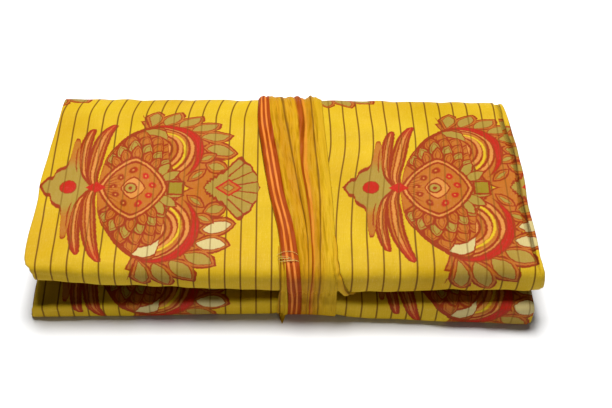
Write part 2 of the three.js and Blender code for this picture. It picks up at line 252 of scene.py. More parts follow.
hollows = [
    # x, distance, rise, width in x, width along the cloth
    (-98, 92, -1.1, 58, 60), (112, 88, -1.0, 50, 62), (-60, 24, 0.5, 60, 16),
    (120, 26, 0.5, 50, 16), (0, 216, -0.6, 120, 20),
]
rng = np.random.default_rng(7)
ripples = [(rng.uniform(0.012, 0.06), rng.uniform(0, math.pi), rng.uniform(0, 6.28), rng.uniform(0.05, 0.16))
           for _ in range(14)]


def unevenness(x, run):
    # how far the cloth stands out of its plain form
    rise = np.zeros(np.broadcast(x, run).shape)
    for x0, v0, x1, v1, high, wide in creases:
        length = math.hypot(x1 - x0, v1 - v0)
        along = ((x - x0) * (x1 - x0) + (run - v0) * (v1 - v0)) / length ** 2
        aside = ((x - x0) * (v1 - v0) - (run - v0) * (x1 - x0)) / length
        fade = smooth(along, -0.15, 0.2) * (1 - smooth(along, 0.6, 1.15))
        rise = rise + high * fade * np.exp(-((aside / wide) ** 2))
    for x0, v0, high, wideX, wideV in hollows:
        rise = rise + high * np.exp(-(((x - x0) / wideX) ** 2 + ((run - v0) / wideV) ** 2))
    for pace, way, phase, size in ripples:
        rise = rise + size * np.sin(6.28 * pace * (x * math.cos(way) + run * math.sin(way)) + phase)
    return rise


def flatUnder(place, low=3.75, high=5.25):
    # 1 where the cloth lies on the surface, where it stays flat
    return smooth(place, low - 0.3, low) * (1 - smooth(place, high, high + 0.3))


# meshes from grids of points

def addPiece(name, data):
    piece = bpy.data.objects.new(name, data)
    bpy.context.scene.collection.objects.link(piece)
    return piece


def gridMesh(name, x, y, z, uv, closeRows=False):
    # a sheet through a grid of points; closeRows joins its last row to its first
    rows, columns = x.shape
    mesh = bpy.data.meshes.new(name)
    points = np.stack([x, y, z], -1).reshape(-1, 3) * mm
    grid = np.meshgrid(np.arange(rows if closeRows else rows - 1), np.arange(columns - 1), indexing="ij")
    r, c = (part.ravel() for part in grid)
    here, there = r * columns + c, (r + 1) % rows * columns + c
    faces = np.stack([here, there, there + 1, here + 1], -1)
    mesh.from_pydata(points.tolist(), [], faces.tolist())
    layer = mesh.uv_layers.new(name="cloth")
    uv = [np.vstack([part, 2 * part[-1:] - part[-2:-1]]) * mm for part in uv]
    square = [(r, c), (r + 1, c), (r + 1, c + 1), (r, c + 1)]
    corners = np.stack([np.stack([part[at] for part in uv], -1) for at in square], 1)
    layer.data.foreach_set("uv", corners.ravel())
    mesh.shade_smooth()
    return addPiece(name, mesh)


def faceOut(piece):
    # turns a closed piece's faces outwards, by the sign of its volume
    solid = bmesh.new()
    solid.from_mesh(piece.data)
    if solid.calc_volume(signed=True) < 0:
        piece.data.flip_normals()
    solid.free()


def clothShell(piece, thick):
    # gives a sheet its thickness, on its inner side and above the surface
    shell = piece.modifiers.new("Shell", "SOLIDIFY")
    shell.thickness, shell.offset, shell.use_even_offset = thick * mm, -1, False
    bpy.context.view_layer.objects.active = piece
    bpy.ops.object.modifier_apply(modifier=shell.name)
    for corner in piece.data.vertices:
        corner.co.z = max(corner.co.z, 0.0)
    faceOut(piece)
    piece.data.shade_smooth()


def finishPiece(piece, material, nodes):
    piece.data.materials.append(material)
    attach(piece, "root")
    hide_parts(*nodes)


# materials: a socket that adds its own Math nodes

class Wire:
    def __init__(self, finish, socket):
        self.finish, self.socket = finish, socket

    def maths(self, operation, *others, clamp=False):
        settings = {"operation": operation, "use_clamp": clamp}
        return self.finish.wire("Math", dict(enumerate((self, *others))), settings)

    def __add__(self, other):
        return self.maths("ADD", other)

    def __sub__(self, other):
        return self.maths("SUBTRACT", other)

    def __rsub__(self, other):
        return self.finish.wire("Math", {0: other, 1: self}, {"operation": "SUBTRACT"})

    def __mul__(self, other):
        return self.maths("MULTIPLY", other)

    def __truediv__(self, other):
        return self.maths("DIVIDE", other)

    def __abs__(self):
        return self.maths("ABSOLUTE")

    __radd__, __rmul__ = __add__, __mul__

    def most(self, other):
        return self.maths("MAXIMUM", other)

    def wrapped(self, half):
        return self.maths("WRAP", half, -half)

    def inside(self, soft=0.35):
        # 1 where a distance is below 0, with a soft edge
        return self.maths("MULTIPLY_ADD", -0.5 / soft, 0.5, clamp=True)

    def ramp(self, low, high):
        # 0 below low and 1 above high
        return self.maths("MULTIPLY_ADD", 1 / (high - low), -low / (high - low), clamp=True)


class Finish:
    def __init__(self, name):
        self.material = bpy.data.materials.new(name)
        self.material.use_nodes = True
        self.tree = self.material.node_tree
        self.tree.nodes.clear()
        self.cloth = self.add("BsdfPrincipled")
        self.add("OutputMaterial", {0: Wire(self, self.cloth.outputs[0])})

    def add(self, kind, sockets=None, settings=None):
        node = self.tree.nodes.new("ShaderNode" + kind)
        for key, value in (settings or {}).items():
            setattr(node, key, value)
        self.feed(node, sockets or {})
        return node

    def feed(self, node, sockets):
        for key, value in sockets.items():
            if isinstance(value, Wire):
                self.tree.links.new(value.socket, node.inputs[key])
            else:
                node.inputs[key].default_value = value

    def wire(self, kind, sockets=None, settings=None, output=0):
        return Wire(self, self.add(kind, sockets, settings).outputs[output])

    def mix(self, share, a, b):
        # colours a to b
        return self.wire("Mix", {0: share, 6: a, 7: b}, {"data_type": "RGBA"}, 2)

    def tinted(self, colour, saturation, value):
        return self.wire("HueSaturation", {"Saturation": saturation, "Value": value, "Color": colour})

    def curve(self, value, reach, height, points):
        # a curve through given points (x, y) in millimetres, x up to reach and y from -5 to height
        node = self.add("FloatCurve", {1: value / reach})
        curve = node.mapping.curves[0]
        while len(curve.points) < len(points):
            curve.points.new(0.5, 0.5)
        for point, (x, y) in zip(curve.points, points):
            point.location = (x / reach, (y + 5) / (height + 5))
        node.mapping.update()
        return Wire(self, node.outputs[0]) * (height + 5) - 5

    def noise(self, vector, scale, detail=2.0, rough=0.5, output=0):
        sockets = {"Vector": vector, "Scale": scale, "Detail": detail, "Roughness": rough}
        return self.wire("TexNoise", sockets, None, output)

    def grain(self, x, y, detail=2.0, rough=0.5, z=0.0, output=0):
        # noise with cells of size 1
        vector = self.wire("CombineXYZ", {0: x, 1: y, 2: z})
        return self.noise(vector, 1.0, detail, rough, output)

    def split(self, vector):
        parts = self.add("SeparateXYZ", {0: vector})
        return [Wire(self, socket) for socket in parts.outputs[:2]]


def linear(*levels, dim=0.5):
    # a colour as it looks in the studio, 0 to 255, as a material takes it; dim allows for the lamps
    parts = [level / 255 for level in levels]
    return (*(dim * (part / 12.92 if part <= 0.04045 else ((part + 0.055) / 1.055) ** 2.4)
              for part in parts), 1.0)


inks = {
    "yellow": linear(236, 196, 46),
    "yellowDeep": linear(224, 178, 34),
    "stripe": linear(122, 74, 6),
    "tan": linear(202, 118, 44),
    "tanLight": linear(230, 152, 76),
    "rust": linear(166, 58, 14),
    "red": linear(204, 44, 26),
    "grey": linear(184, 152, 66),
    "olive": linear(168, 140, 38),
    "cream": linear(226, 206, 140),
    "golden": linear(224, 170, 24),
    "goldenDeep": linear(206, 142, 14),
    "goldenPale": linear(236, 190, 58),
    "amber": linear(208, 130, 34),
    # painted shade: the dark of the shade in the band's small wrinkles, laid on as colour
    "paintedWrinkleShade": linear(170, 112, 10),
    "border": linear(176, 72, 12),
    "borderLight": linear(250, 150, 70),
}

stripes = {"pitch": 11.4, "half": 0.56, "phase": 3.0}
flower = {
    "across": 238.0,     # from one flower to the next along the pack
    "along": 198.0,      # and from one row to the next
    "shift": 139.0,      # every other row is moved this far along the pack
    "tip": (-186.5, 76.5),
    "shake": 1.6,        # how far its outlines waver
    "before": 20.0,      # how far its repeat starts before the tip
}


def leaf(x, y, half, wide):
    # a pointed leaf along x
    return abs(y) - (1 - (x / half) * (x / half)) * wide


def ring(x, y):
    return (x * x + y * y).maths("SQRT")


def drawFlower(finish, ground, a, b):
    # one woven flower, which points left: a runs along it from its tip, b across it; the colours are
    # laid on from the back to the front
    colour, c = ground, abs(b)
    rust, red, tan, grey, light = (inks[name] for name in ("rust", "red", "tan", "grey", "tanLight"))

    def lay(mask, ink):
        nonlocal colour
        colour = finish.mix(mask, colour, ink)

    def outline(points):
        return c - finish.curve(a, 200, 80, points + [(200, -4)])

    def fill(distance, ink, width, line=rust):
        # fills a shape and draws its outline
        lay(distance.inside(), ink)
        lay((abs(distance) - width).inside(), line)

    # the leaf sprays outside the wings, on a broad stem
    pale = finish.mix((ring(a - 134, b + 44) - 17).inside(3.0), grey, inks["cream"])
    wingX, wingY = a - 86, c - 37
    wing = ring(wingX, wingY)
    turn = wingY.maths("ARCTAN2", wingX)
    fill((wing - 42).most((abs(turn - 0.8) - 1.12) * 40), tan, 0.7)
    aside = (turn - 0.007).wrapped(0.166) * wing
    out = wing - 50.5 + turn * 4.0
    sprayLeaf = leaf(out, aside + out * 0.25, 13.5, 9.4).most((abs(turn - 0.83) - 0.99) * 50)
    fill(sprayLeaf, tan, 1.2)
    fill(sprayLeaf + 3.4, pale, 0.5)

    # small leaves between the wings and the end flower
    fill((ring(a - 121, c - 16) - 17).most(abs(a - 119) - 16), tan, 0.7)
    drops = [(119, 13, 0.9, 10.5, 4.6), (134, 21, -0.35, 8.5, 6.2), (126, 30, 0.5, 8, 4.6)]
    for x, y, way, half, wide in drops:
        along, across = (a - x) + (c - y) * way, (c - y) - (a - x) * way
        drop = leaf(along * 0.85, across * 0.85, half, wide)
        fill(drop, tan, 0.85)
        fill(drop + 2.6, grey, 0.3)

    # the wings: sweeping bars behind the body, and a red crescent with rust strands outside
    barInk = finish.mix((wing - 7).wrapped(4.7).inside(0.6), light, tan)
    bars = abs((wing - turn * 1.6).wrapped(2.35))
    barInk = finish.mix((bars - 1.35).inside(0.4), rust, barInk)
    barInk = finish.mix((abs(wing - 22.5) - 1.0).inside(0.5), barInk, inks["yellow"])
    lay((wing - 31).inside(0.5) * (c - 3).ramp(0, 1) * (a - 84).ramp(0, 1), barInk)
    crescent = abs(wing - 34 + turn * 1.2) - 3.0 + (turn - 0.5) * (turn - 0.5) * 2.2
    offAxis = (c - 6).ramp(0, 2)
    lay((crescent - 1.0).inside(0.5) * offAxis, rust)
    lay(crescent.inside(0.6) * offAxis, red)
    strand = (abs((wing - 34 - turn * 2.5).wrapped(1.5)) - 0.3).inside(0.4)
    lay(strand * crescent.inside(0.6) * offAxis * 0.8, rust)

    # the body, with its pale crescent
    body = outline([(0, -4), (41, -4), (45, 18), (49, 32), (55, 42), (62, 52), (70, 60), (79, 66),
                    (88, 67), (93, 58), (95, 40), (99, 20), (105, 9), (109, -4)])
    fill(body, tan, 1.3)
    moon = (ring(a - 78, c - 42) - 24).most(21 - ring(a - 77.5, c - 34.5)).most(39 - c)
    fill(moon.most(body + 1.8), finish.mix((b + 10).inside(4.0), grey, inks["cream"]), 0.75)
    lay((abs(body + 4.2).most(c - 52) - 0.55).inside(), rust)

    # rows of petals round the middle, like scales: from, to, step round it, ink
    eyeX = a - 70.5
    eyeTurn = b.maths("ARCTAN2", eyeX)
    almond = (abs(eyeX) / 25).maths("POWER", 1.4) + (c / 29).maths("POWER", 1.4)
    almond = almond.maths("POWER", 0.714)
    rows = [(1.62, 2.1, 0.25, tan), (1.42, 1.86, 0.26, tan), (1.2, 1.62, 0.27, grey), (1.0, 1.38, 0.28, tan)]
    for number, (low, high, step, ink) in enumerate(rows):
        sector = (eyeTurn + 0.135 * number).wrapped(step / 2) * almond * 25
        along = (almond - (low + high) / 2) * 26
        petal = leaf(along, sector, (high - low) * 13 + 2, step * 12.0 * (low + high) / 2)
        petal = petal.most((abs(eyeTurn) - 2.35) * 30).most(body + 3)
        fill(petal, ink, 0.85)
        lay((abs(petal + 2.2) - 0.3).inside(), rust)

    # the fan of broad petals behind it
    fanTurn, fanRing = b.maths("ARCTAN2", a - 80), ring(a - 80, b)
    petal = leaf(fanRing - 21.5, (fanTurn - 0.17).wrapped(0.2) * fanRing, 9, 4.6)
    fill(petal.most((abs(fanTurn) - 1.15) * 30), grey, 0.75)

    # the middle: an almond with rings, small blossoms and an eye
    fill((almond - 1.04) * 25, light, 1.0)
    fill((almond - 0.9) * 25, tan, 0.9)
    rays = (abs(b.maths("ARCTAN2", a - 40).wrapped(0.075)) - 0.022).inside(0.014)
    lay(rays * (a - 58).inside(4.0) * ((almond - 0.86) * 25).inside(), rust)
    blossom = ring((almond - 0.62) * 25, (eyeTurn - 0.2).wrapped(0.36) * 14.5) - 2.9
    lay(blossom.inside(0.6), finish.mix((eyeX - 2).inside(3.0), red, rust))
    lay((blossom + 2.2).inside(0.5), light)
    fill((almond - 0.36) * 25, light, 0.6)
    eye = ring(eyeX + 2, b)
    fill(eye - 4.6, grey, 0.7)
    lay((eye - 1.6).inside(), rust)

    # the square petal, and the end flower
    fill((abs(a - 103) - 5.8).most(c - 6.2), inks["olive"], 0.9)
    endTurn, endRing = b.maths("ARCTAN2", a - 134), ring(a - 134, b)
    lotus = outline([(0, -4), (123, -4), (126.5, 3), (133, 9), (142, 18), (149, 26), (152, 28),
                     (157, 25), (162, 18), (166, 10), (169, -4)])
    lotus = lotus * 0.75 + abs(endTurn.wrapped(0.17)) * (c * 0.12 + 9) - 1.4
    fill(lotus, grey, 1.25)
    ribs = (abs((endTurn + 0.17).wrapped(0.17)) * endRing - 0.6).most(14 - endRing)
    lay(ribs.inside() * (lotus + 1).inside(), rust)
    diamond = abs(a - 144) * 0.8 + c - 7.6
    fill(diamond, tan, 0.95, red)
    fill(diamond + 4.0, grey, 0.4)

    # two feathers on each side of the neck: their middles and half widths by how far out they are
    feathers = [
        ([(0, 41), (8, 34), (20, 30.5), (35, 29.8), (48, 31.3), (64, 35), (80, 40)],
         [(0, 2), (10, 3), (28, 3.6), (46, 3.4), (57, 2.4), (62, 0.6), (64, -3), (80, -4)]),
        ([(0, 42), (9, 38.5), (24, 39), (40, 41), (56, 45), (72, 52), (80, 56)],
         [(0, 2), (10, 3.6), (28, 4.9), (46, 4.6), (60, 3.4), (69, 1.8), (73, -3), (80, -4)]),
    ]
    for middle, wide in feathers:
        aside = abs(a - finish.curve(c, 80, 80, middle))
        half = finish.curve(c, 80, 8, wide)
        feather = aside - half
        fill(feather, tan, 1.15)
        lay((abs(aside - half * 0.4) - 0.5).inside() * (feather + 1).inside(), rust)
        lay((aside - half * 0.22).inside(0.3) * (feather + 1.6).inside(), light)
        lay(feather.inside(0.3) * (c - 50).ramp(0, 16) * 0.6, red)

    # the bud at the tip with a third pair, its dot, and the knot
    bud = outline([(0, 0), (3, 4.5), (6, 8), (8, 8), (10, 14), (14, 17.5), (17, 19), (20, 32), (22, 47),
                   (24, 47), (26.5, 28), (30, 13), (36, 4.5), (43, -4)])
    bud = bud.most(0.0 - a) * 0.6
    fill(bud, grey, 1.1)
    lay(bud.inside() * (c - 18).ramp(0, 10) * 0.8, tan)
    vein = (abs(a - 24 - (c - 30) * (c - 30) * 0.008) - 0.5).inside()
    lay(vein * (c - 14).ramp(0, 3) * (40 - c).ramp(0, 4), rust)
    fill(ring(a - 21, b) - 6.2, red, 0.3)
    lay((abs(a - 42) * 0.7 + c - 5.4).inside(), red)
    return colour


def weave(finish, u, v, colour, extra=0.0):
    # the plain weave, its slubs and its sheen
    pace = 6.2832 / 0.42     # the threads lie 0.42 mm apart
    warpSlub = finish.grain(u * 2.4, v * 0.05, 3.0, 0.6)
    weftSlub = finish.grain(u * 0.05, v * 2.4, 3.0, 0.6)
    threads = (u * pace).maths("SINE") * (v * pace).maths("SINE")
    cloudy = finish.grain(u * 0.02, v * 0.02, 3.0)
    tone = warpSlub * 0.5 + weftSlub * 0.3 + cloudy * 0.5 + threads * 0.03
    colour = finish.mix(tone.ramp(0.45, 0.85), finish.tinted(colour, 1.06, 0.8), colour)
    height = threads * 0.35 + warpSlub * 0.9 + weftSlub * 0.6 + extra
    bump = finish.wire("Bump", {"Strength": 0.35, "Distance": 0.0002, "Height": height})
    finish.feed(finish.cloth, {"Base Color": colour, "Roughness": 0.62 - warpSlub * 0.14, "Normal": bump,
                               "Sheen Weight": 0.01, "Sheen Roughness": 0.4, "Specular IOR Level": 0.06})


def clothPlace(finish):
    # where on the cloth, in millimetres
    return [part * 1000 for part in finish.split(finish.wire("UVMap", None, {"uv_map": "cloth"}))]


def makeFieldCloth():
    # yellow with thin stripes, and rows of woven flowers that lie behind the stripes
    finish = Finish("fieldCloth")
    u, v = clothPlace(finish)
    uShake, vShake = ((part - 0.5) * flower["shake"]
                      for part in finish.split(finish.grain(u * 0.45, v * 0.45, output=1)))
    along, across = flower["along"], flower["across"]
    fromTip, fromRow = u - flower["tip"][0] + uShake, v - flower["tip"][1] + vShake
    # the rows' bounds wind between the leaves of one row and those of the next
    winding = ((fromTip - 110) * (6.2832 / across)).maths("COSINE")
    winding = winding * ((fromRow - along / 2) * (3.1416 / along)).maths("COSINE")
    row = ((fromRow - winding * 10) / along).maths("ROUND")
    b = fromRow - row * along
    a = fromTip - row.maths("PINGPONG", 1) * flower["shift"]
    a = a.maths("WRAP", across - flower["before"], -flower["before"])
    cloudy = finish.grain(u * 0.012, v * 0.012)
    ground = finish.mix(cloudy.ramp(0.35, 0.65), inks["yellow"], inks["yellowDeep"])
    speckle = finish.grain(u * 1.1, v * 0.35, 4.0, 0.7)
    drift = finish.grain(u * 0.03, v * 0.008) * 1.4
    line = abs((u - stripes["phase"] + drift).wrapped(stripes["pitch"] / 2)) - stripes["half"]
    ground = finish.mix(line.inside(0.3) * 0.85, ground, inks["stripe"])
    colour = drawFlower(finish, ground, a, b)
    colour = finish.mix(speckle.ramp(0.52, 0.75) * 0.55, colour, finish.tinted(colour, 0.85, 1.2))
    colour = finish.mix(line.inside(0.3) * 0.5, colour, inks["stripe"])
    weave(finish, u, v, colour)
    return finish.material


print("materials: flower field")
fieldCloth = makeFieldCloth()

# the outermost sheet

outerSheet = {
    "steps": {"ceiling": 14, "upperFold": 30, "top": 54, "spine": 30, "underside": 36, "lowerFold": 28,
              "floor": 14, "turn": 4},
    "columns": 168,
    "hem": 0.75,         # radius of the fold at each end
    "tuck": 4.0,         # how far it goes back in
    # how far its right edge is set back, by distance along the cloth
    "edgeIn": [(-60, 1.0), (-6, 1.4), (10, 3.6), (33, 6.2), (76, 4.6), (122, 6.0), (176, 6.0), (230, 1.5)],
    "dip": 3.8,          # how far its right edge turns down into the crease there
    "drop": 0.0,
    "trim": 0.0,
    "wavy": 0.0,
    "thick": 0.4,
    "from": 0.45,        # it starts and ends out of sight in the mouth
    "to": 6.55,
    "hems": 2,           # at both ends, or at the right end alone
}


def stripeShift(x, run):
    # how far the woven stripes are pulled out of line on the top
    rear = -6.0 * smooth(run, 146, 182) * (1 - smooth(x, -30, 0)) * (1 - smooth(run, 182, 260))
    pulled = (1 - smooth(x, 60, 185)) * smooth(x, 0, 40)
    slant = pulled * (9.0 * (1 - smooth(run, 20, 150)) - 2.2 * np.exp(-(((run - 118) / 26) ** 2)))
    return rear + slant * (1 - smooth(run, 150, 200)) * smooth(run, -60, -20)


def runShift(run):
    # the sheet is a little stretched towards the spine and has slack round it
    return 24.0 * smooth(run, 118, 178) - 27.0 * smooth(run, 190, 400)


def hemColumns(spec):
    # columns across the sheet: share of the half width, and how far its hem has turned in
    radius = spec["hem"]
    shares = np.sin(np.linspace(-1, 1, spec["columns"]) * 1.35) / math.sin(1.35)
    turns = np.radians([30, 60, 90, 120, 150, 180])
    hem = [(radius * (1 - math.sin(t)), radius * (1 - math.cos(t))) for t in turns]
    hem.append((radius + spec["tuck"], 2 * radius))
    columns = [(share, radius, 0.0) for share in shares]
    if spec["hems"] == 2:
        columns = [(-1.0, back, down) for back, down in reversed(hem)] + columns
    columns = columns + [(1.0, back, down) for back, down in hem]
    return np.array(columns).T


def makeSheet(name, spec, inset, fromX=None):
    places = placesRound(spec["steps"], spec["from"], spec["to"])
    run = lengthRound(places)
    share, back, down = hemColumns(spec)
    if fromX is not None:
        share = np.where(share < 1, blend(fromX / pack["endX"], 1.0, (share + 1) / 2), share)
    share, place, runs = np.broadcast_arrays(share, places[:, None], run[:, None])
    side = np.where(share < 0, -1.0, 1.0)
    wavy = 0.5 * np.sin(runs * 0.11 + 1.3) + 0.4 * np.sin(runs * 0.043 + 0.4)
    wavy = wavy + spec["wavy"] * np.sin(runs * 0.075)
    hem = np.where(np.abs(share) > 0.999, back, spec["hem"] * smooth(np.abs(share), 0.9, 1))
    hem = hem + wavy * smooth(np.abs(share), 0.93, 1)
    short = np.interp(runs, *np.array(spec["edgeIn"]).T)
    x = endAt(share, place, spec["trim"]) - side * hem - short * smooth(share, 0.93, 1)
    onTop = 1 - flatUnder(place)
    relief = unevenness(x, runs) * onTop
    relief = np.where(onTop < 1, np.minimum(relief, 0), relief)
    # beside its right end it turns down into the crease, or drops out of sight
    dip = spec["dip"] * smooth(share, 1 - 1.3 / pack["endX"], 1) * smooth(short, 1.2, 3)
    drop = spec["drop"] * smooth(endAt(1 + 0 * place, place, spec["trim"]) - x, 3.0, 3.8)
    y, z = packPoint(x, place, down + inset - relief + (dip + drop) * onTop)
    u = x + stripeShift(x, runs) + side * down * 1.2
    return gridMesh(name, x, y, np.maximum(z, 0), (u, runs + runShift(runs)))


print("sheet: outermost")
outer = makeSheet("outerSheet", outerSheet, 0.0)
clothShell(outer, outerSheet["thick"])
finishPiece(outer, fieldCloth, ["top_cover", "back_cover", "bottom_cover"])

# the fold under it, which shows as a strip at the right end

innerFold = {
    "steps": outerSheet["steps"],
    "columns": 22,
    "hem": 0.8,
    "tuck": 4.0,
    "edgeIn": [(0, 0.0)],
    "dip": 0.0,
    "drop": 6.5,         # how far down it lies beside its right end, out of sight
    "trim": -0.2,
    "wavy": 0.5,
    "thick": 0.4,
    "from": 0.5,
    "to": 6.5,
    "hems": 1,
}

print("sheet: inner fold")
inner = makeSheet("innerFold", innerFold, 0.9, fromX=168)
clothShell(inner, innerFold["thick"])
finishPiece(inner, fieldCloth, [])

# the folded layers, with their folds one round the other at both ends

layers = {
    "steps": {"ceiling": 20, "upperFold": 20, "top": 22, "spine": 24, "underside": 22, "lowerFold": 20,
              "floor": 20, "turn": 8},
    "folds": 8,          # from the outside to the middle of each half
    "profile": 6,
    "deep": 1.5,         # the grooves between the folds
    "inset": 1.35,       # how far under the outermost face they lie
    "bareInset": 0.1,    # and where no outer sheet lies on them
    "middle": 0.96,
    "stations": 26,
    "in": 1.3,
}


def makeLayers():
    places = placesRound(layers["steps"])
    run = lengthRound(places)
    noise = np.random.default_rng(21)
    rows = []
    for side in (-1, 1):
        nest = []
        for fold in range(layers["folds"]):
            setBack = noise.uniform(-0.5, 1.3)
            waves = [(noise.uniform(0.004, 0.03), noise.uniform(0, 6.28), noise.uniform(0.15, 0.5))
                     for _ in range(4)]
            uneven = setBack + sum(size * np.sin(6.28 * pace * run + phase) for pace, phase, size in waves)
            for step in range(layers["profile"]):
                t = step / layers["profile"]
                share = layers["middle"] * (fold + t) / layers["folds"]
                bulge = math.sin(math.pi * t)
                inward = uneven * bulge ** 0.3 + layers["deep"] * (1 - bulge ** 0.55)
                x = endAt(side + 0 * places, places) - side * (layers["in"] + inward)
                u = x * 0 + side * 150 + fold * 31.0 + side * t * 2.2
                nest.append((x, share, u))
        rows.append(nest)
    body = []
    for s in np.linspace(-1, 1, layers["stations"]):
        x = endAt(s + 0 * places, places) - np.sign(s) * layers["in"] * smooth(abs(s), 0.9, 1)
        body.append((x, 0.0, x))
    stack = rows[0][::-1] + body + rows[1]
    x, u = (np.stack([column[part] for column in stack], 1) for part in (0, 2))
    share = np.array([column[1] for column in stack])
    # deep in the mouth no outer sheet lies on the layers, so they fill its place
    places = places[:, None]
    bare = 1 - smooth(places, 0.36, 0.5) * (1 - smooth(places, 6.5, 6.64))
    inset = blend(layers["inset"], layers["bareInset"], bare * (1 - share))
    y, z = packPoint(x, places, inset, share)
    return gridMesh("foldedLayers", x, y, z, (u, run[:, None] + 0 * x), closeRows=True)


def closeEnds(piece):
    # closes the two slits along the middle of the layers
    bpy.context.view_layer.objects.active = piece
    piece.select_set(True)
    bpy.ops.object.mode_set(mode="EDIT")
    bpy.ops.mesh.select_all(action="DESELECT")
    bpy.ops.mesh.select_non_manifold()
    bpy.ops.mesh.fill()
    bpy.ops.object.mode_set(mode="OBJECT")
    piece.select_set(False)
    faceOut(piece)


print("folded layers")
folded = makeLayers()
closeEnds(folded)
folded.data.shade_smooth()
finishPiece(folded, fieldCloth, ["folded_layers"])

# the wound end of the saree

band = {
    "acrossMouth": (5.667, 1.333),   # it leaves the lower fold here and meets the upper one there
    "crossing": 12.0,                # its length between them
    "mouthDip": 0.8,
    "stand": 0.75,
    "relief": 1.4,                   # how strongly its folds stand out
    "thick": 0.4,
    "columns": 64,
}

# x of lines along the band: its left edge, the end of the border stripes, a thin stripe, the edge of
# the upper fold, another stripe and the right edge, by how far behind the front crease they are
bandLines = {
    "behind": [-240, -120, -62, -45, -20, 0, 24, 53, 81, 132, 178, 200, 216, 232, 420],
    "left": [-2, -2, 3.2, 3.8, 1.5, -2.2, -4.5, -10.8, -15, -21.6, -20, -17, -10, -2.5, -2],
    "border": [10, 10, 14.4, 14.6, 13.5, 11, 8.2, 1.2, -2.4, -10, -13.6, -9, 0, 8.5, 10],
    "stripe": [17, 17, 17.8, 18, 18.3, 18.4, 17.4, 12.8, 8.6, 1.5, -4.3, 0, 8, 15, 17],
    "flap": [22, 22, 20.5, 20.2, 20.6, 21.2, 20.6, 18.4, 14.6, 16.5, 11.8, 13.5, 17, 20.8, 22],
    "second": [30, 30, 26.4, 26, 26.5, 26.8, 27.5, 28, 26.5, 23.4, 21, 22, 25, 28.8, 30],
    "right": [42, 42, 40, 40, 40, 38.4, 38, 37.2, 35.5, 32.4, 30.5, 33, 37, 41.2, 42],
}
bandWoven = {"left": 0, "border": 12, "stripe": 18.5, "flap": 25, "second": 31, "right": 42}

# the soft folds that run along it
bandFolds = [
    # the line it follows, x from that line, rise, width, beat and phase of its unevenness
    ("left", 4.0, 1.1, 2.6, 0.021, 0.3), ("border", 1.6, 1.5, 2.2, 0.016, 1.9),
    ("border", -1.8, -0.7, 0.9, 0.011, 0.9), ("stripe", 0.0, -0.7, 1.1, 0.018, 4.1),
    ("flap", -2.6, 1.5, 2.0, 0.014, 2.6), ("second", 0.8, 1.0, 2.0, 0.019, 5.2),
    ("second", 4.6, -0.6, 1.2, 0.013, 1.1), ("right", -4.4, 1.1, 2.2, 0.017, 3.4),
    ("right", -8.4, 0.6, 1.2, 0.024, 2.2), ("right", -1.6, -0.5, 1.0, 0.022, 0.7),
]


def pathRows(steps):
    # places along the band's path: two places, the share between them, and the length from the crease
    leave, meet = band["acrossMouth"]
    around = np.unique(np.concatenate([
        np.linspace(2, 3, steps), 3 + evenTurns("spine", steps // 2), np.linspace(4, 5, steps),
        5 + evenTurns("lowerFold", steps // 2)]))
    around = around[around < leave]
    upper = 1 + evenTurns("upperFold", steps // 2)
    upper = upper[(upper > meet) & (upper < 1.999)]
    rows = [(place, place, 0.0) for place in around]
    rows += [(leave, meet, mix) for mix in np.linspace(0, 1, max(4, steps // 7))]
    rows += [(place, place, 0.0) for place in upper]
    a, b, mix = np.array(rows).T
    behind = lengthRound(a, crease=2.0)
    leaveRun, meetRun = lengthRound(np.array([leave, meet]), crease=2.0)
    crossStart = meetRun - band["crossing"]
    across = (a == leave) & (b == meet)
    behind = np.where(across, blend(crossStart, meetRun, mix), behind)
    behind = np.where(~across & (a > 5), crossStart - (leaveRun - behind), behind)
    return a, b, mix, behind


def pathPoint(x, rows, lift):
    a, b, mix = (values[:, None] for values in rows[:3])
    ya, za = packPoint(x, a + 0 * x, -lift)
    yb, zb = packPoint(x, b + 0 * x, -lift)
    return blend(ya, yb, mix) + band["mouthDip"] * np.sin(math.pi * mix), blend(za, zb, mix)


def softened(values, width=7):
    # rounds the corners off the band's lines
    pad = np.concatenate([values[-width:], values, values[:width]])
    return np.convolve(pad, np.ones(2 * width + 1) / (2 * width + 1), "valid")


def crumple(across, along, seed):
    # smooth unevenness between -0.5 and 0.5 with cells of size 1
    grid = np.random.default_rng(seed).uniform(-0.5, 0.5, (64, 64))
    i, j = np.floor(across).astype(int), np.floor(along).astype(int)
    s, t = smooth(across - i, 0, 1), smooth(along - j, 0, 1)
    low = blend(grid[i % 64, j % 64], grid[(i + 1) % 64, j % 64], s)
    high = blend(grid[i % 64, (j + 1) % 64], grid[(i + 1) % 64, (j + 1) % 64], s)
    return blend(low, high, t)


